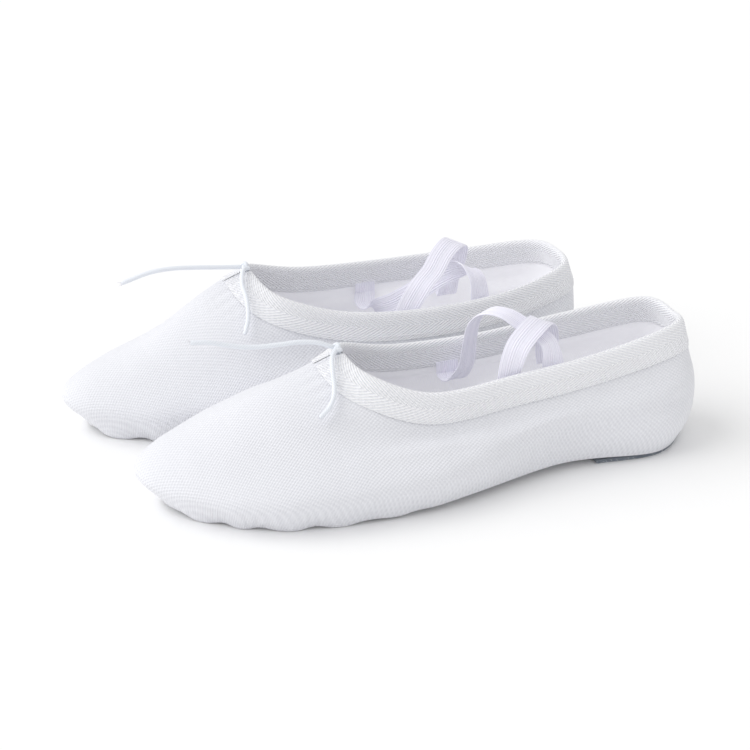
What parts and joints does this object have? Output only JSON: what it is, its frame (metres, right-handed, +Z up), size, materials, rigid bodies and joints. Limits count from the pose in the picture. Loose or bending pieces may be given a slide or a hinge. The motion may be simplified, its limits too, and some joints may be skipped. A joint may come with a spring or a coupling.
{
  "type": "ballet slipper",
  "caption": "Soft canvas ballet slippers with split suede soles, a bound throat with a drawcord, and elastic straps crossed over the instep.",
  "frame": {"origin": "on the floor, under the middle of the pair", "axes": "+Z up, +X from the toes to the heels along the left slipper, +Y from the left slipper to the right slipper"},
  "size_m": [0.2616, 0.1786, 0.0712],
  "materials": {
    "canvas": "plain woven cotton canvas, matte",
    "lining": "smooth cotton lining, matte",
    "binding": "cotton twill tape with strong diagonal ribs",
    "elastic": "ribbed woven elastic with a slight sheen",
    "cord": "round covered elastic cord with a slight sheen",
    "suede": "dark slate split suede, napped",
    "insole": "cotton-covered thin foam pad, matte",
    "tape": "narrow plain cotton tape, matte"
  },
  "bodies": {
    "left_forefoot": {"left_canvas_upper": "canvas", "left_cotton_lining": "lining", "left_throat_binding": "binding", "left_drawcord_loop": "cord", "left_drawcord_knot": "cord", "left_drawcord_tail_a": "cord", "left_drawcord_tail_b": "cord", "left_forefoot_insole": "insole", "left_forefoot_sole": "suede", "left_cross_strap_a": "elastic", "left_cross_strap_b": "elastic"},
    "left_heel": {"left_heel_insole": "insole", "left_heel_sole": "suede", "left_heel_seam_tape": "tape"},
    "right_forefoot": {"right_canvas_upper": "canvas", "right_cotton_lining": "lining", "right_throat_binding": "binding", "right_drawcord_loop": "cord", "right_drawcord_knot": "cord", "right_drawcord_tail_a": "cord", "right_drawcord_tail_b": "cord", "right_forefoot_insole": "insole", "right_forefoot_sole": "suede", "right_cross_strap_a": "elastic", "right_cross_strap_b": "elastic"},
    "right_heel": {"right_heel_insole": "insole", "right_heel_sole": "suede", "right_heel_seam_tape": "tape"}
  },
  "joints": [
    {"name": "left_arch_flex", "type": "hinge", "parent": "left_forefoot", "child": "left_heel", "pos_m": [0.03498, -0.04152, 0.003], "axis": [0, -1, 0], "range_deg": [0, 45], "deforming": ["left_canvas_upper", "left_cotton_lining", "left_throat_binding", "left_drawcord_loop", "left_cross_strap_a", "left_cross_strap_b"]},
    {"name": "right_arch_flex", "type": "hinge", "parent": "right_forefoot", "child": "right_heel", "pos_m": [0.01874, 0.04485, 0.003], "axis": [0.0558, -0.9984, 0], "range_deg": [0, 45], "deforming": ["right_canvas_upper", "right_cotton_lining", "right_throat_binding", "right_drawcord_loop", "right_cross_strap_a", "right_cross_strap_b"]},
    {"name": "right_slipper_lift", "type": "slide", "parent": "left_forefoot", "child": "right_forefoot", "axis": [0, 0, 1], "range_m": [0, 0.12]}
  ]
}
